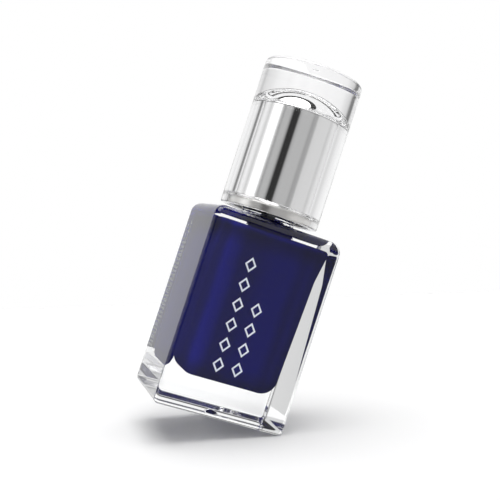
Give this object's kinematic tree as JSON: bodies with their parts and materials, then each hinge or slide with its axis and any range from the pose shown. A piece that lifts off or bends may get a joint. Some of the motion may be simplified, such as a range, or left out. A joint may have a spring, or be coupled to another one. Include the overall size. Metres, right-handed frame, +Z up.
{
  "type": "nail polish bottle",
  "caption": "Rectangular thick-walled glass lacquer bottle with a round screw cap: clear outer shell over a domed chrome sleeve, brush fixed inside the cap.",
  "frame": {"origin": "centre of the flat base that the bottle stands on", "axes": "+Z up along the neck and the cap's screw axis; -Y is the printed front face; +X to the right seen from the front"},
  "size_m": [0.0296, 0.0236, 0.0787],
  "materials": {
    "clear_glass": "polished",
    "blue_lacquer": "wet gloss",
    "steel_ball": "polished",
    "clear_acrylic": "polished clear",
    "bright_chrome": "mirror",
    "satin_silver": "satin",
    "black_plastic": "moulded",
    "washer_foam": "soft",
    "anchor_brass": "stamped",
    "bristle_nylon": "fibres wet with lacquer"
  },
  "bodies": {
    "bottle": {"glass_bottle": "clear_glass", "lacquer": "blue_lacquer", "mixing_ball_1": "steel_ball", "mixing_ball_2": "steel_ball"},
    "washer": {"sealing_washer": "washer_foam"},
    "cap": {"overcap": "clear_acrylic", "chrome_sleeve": "bright_chrome", "collar_ring": "satin_silver", "inner_cap": "black_plastic", "brush_stem": "black_plastic", "tuft_anchor": "anchor_brass", "bristle_tuft": "bristle_nylon"}
  },
  "joints": [
    {"name": "cap_lift", "type": "slide", "parent": "bottle", "child": "washer", "axis": [0, 0, 1], "range_m": [0, 0.0509]},
    {"name": "cap_turn", "type": "hinge", "parent": "washer", "child": "cap", "pos_m": [0, 0, 0.06], "axis": [0, 0, 1], "range_deg": [0, 8640]}
  ],
  "couplings": [
    {"joint": "cap_lift", "follows": "cap_turn", "m_per_rad": 0.00033693}
  ]
}
